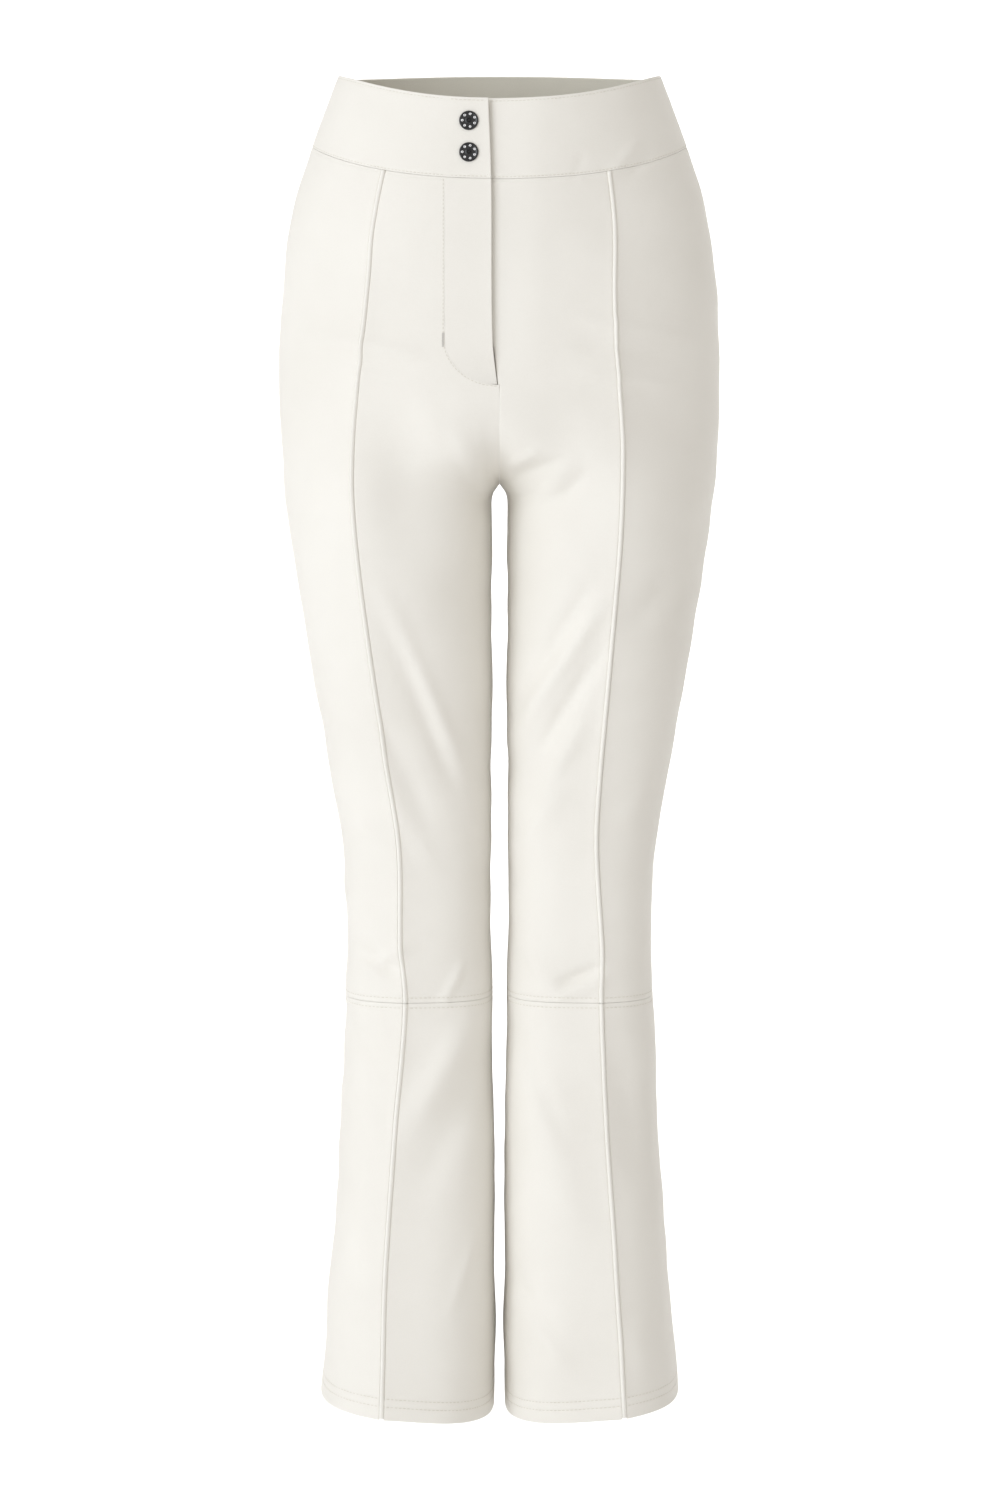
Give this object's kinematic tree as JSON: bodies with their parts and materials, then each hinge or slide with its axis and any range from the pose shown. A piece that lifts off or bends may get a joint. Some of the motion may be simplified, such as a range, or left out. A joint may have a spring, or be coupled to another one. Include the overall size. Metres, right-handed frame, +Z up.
{
  "type": "ski trousers",
  "caption": "High-waisted slim ski trousers with a flared hem, piped front creases, knee seams, a snapped waistband tab and a zip fly under a placket flap.",
  "frame": {"origin": "middle of the waist opening, level with the top of the side seams", "axes": "+Z up the body, -Y to the wearer's front, -X to the wearer's right"},
  "size_m": [0.3578, 0.2364, 1.095],
  "materials": {
    "shell_cloth": "matte",
    "piping_cloth": "matte",
    "facing_cloth": "matte",
    "zip_tape": "matte",
    "zip_coil": "satin",
    "zip_metal": "satin",
    "black_enamel": "gloss",
    "snap_metal": "satin"
  },
  "bodies": {
    "garment": {"front_side_upper_right": "shell_cloth", "front_side_lower_right": "shell_cloth", "piping_upper_right": "piping_cloth", "piping_lower_right": "piping_cloth", "front_centre_upper_right": "shell_cloth", "front_centre_lower_right": "shell_cloth", "back_upper_right": "shell_cloth", "back_lower_right": "shell_cloth", "hem_facing_right": "facing_cloth", "front_side_upper_left": "shell_cloth", "front_side_lower_left": "shell_cloth", "piping_upper_left": "piping_cloth", "piping_lower_left": "piping_cloth", "front_centre_upper_left": "shell_cloth", "front_centre_lower_left": "shell_cloth", "back_upper_left": "shell_cloth", "back_lower_left": "shell_cloth", "hem_facing_left": "facing_cloth", "waistband_front_right": "shell_cloth", "waistband_front_right_facing": "facing_cloth", "waistband_front_left": "shell_cloth", "waistband_front_left_facing": "facing_cloth", "waistband_back": "shell_cloth", "waistband_back_facing": "facing_cloth", "fly_shield": "facing_cloth", "zip_coil_left": "zip_coil", "zip_tape_left": "zip_tape", "zip_top_stop_left": "zip_metal", "zip_bottom_stop": "zip_metal", "snap_stud_upper": "snap_metal", "snap_post_upper": "snap_metal", "snap_stud_lower": "snap_metal", "snap_post_lower": "snap_metal"},
    "fly_flap": {"waistband_tab": "shell_cloth", "waistband_tab_facing": "facing_cloth", "placket_flap": "shell_cloth", "placket_facing": "facing_cloth", "snap_cap_upper": "black_enamel", "snap_cap_lower": "black_enamel", "snap_socket_upper": "snap_metal", "snap_socket_lower": "snap_metal"},
    "zip_slider": {"zip_slider": "zip_metal"},
    "zip_pull": {"zip_pull": "zip_metal"},
    "zip_right_half": {"zip_coil_right": "zip_coil", "zip_tape_right": "zip_tape", "zip_top_stop_right": "zip_metal"}
  },
  "joints": [
    {"name": "fly_flap_hinge", "type": "hinge", "parent": "garment", "child": "fly_flap", "pos_m": [-0.043, -0.0892, -0.0212], "axis": [0, -0.0942, -0.9956], "range_deg": [0, 110]},
    {"name": "zip_travel", "type": "slide", "parent": "garment", "child": "zip_slider", "axis": [0, -0.0844, -0.9964], "range_m": [0, 0.134]},
    {"name": "zip_spread", "type": "hinge", "parent": "garment", "child": "zip_right_half", "pos_m": [-0.024, -0.10207, -0.2407], "axis": [0, -0.9964, 0.0844], "range_deg": [0, 8]},
    {"name": "zip_pull_swing", "type": "hinge", "parent": "zip_slider", "child": "zip_pull", "pos_m": [-0.024, -0.09325, -0.09741], "axis": [0, 0.9964, -0.0844], "range_deg": [-30, 30]}
  ],
  "couplings": [
    {"joint": "zip_spread", "follows": "zip_travel", "rad_per_m": 1.04}
  ]
}
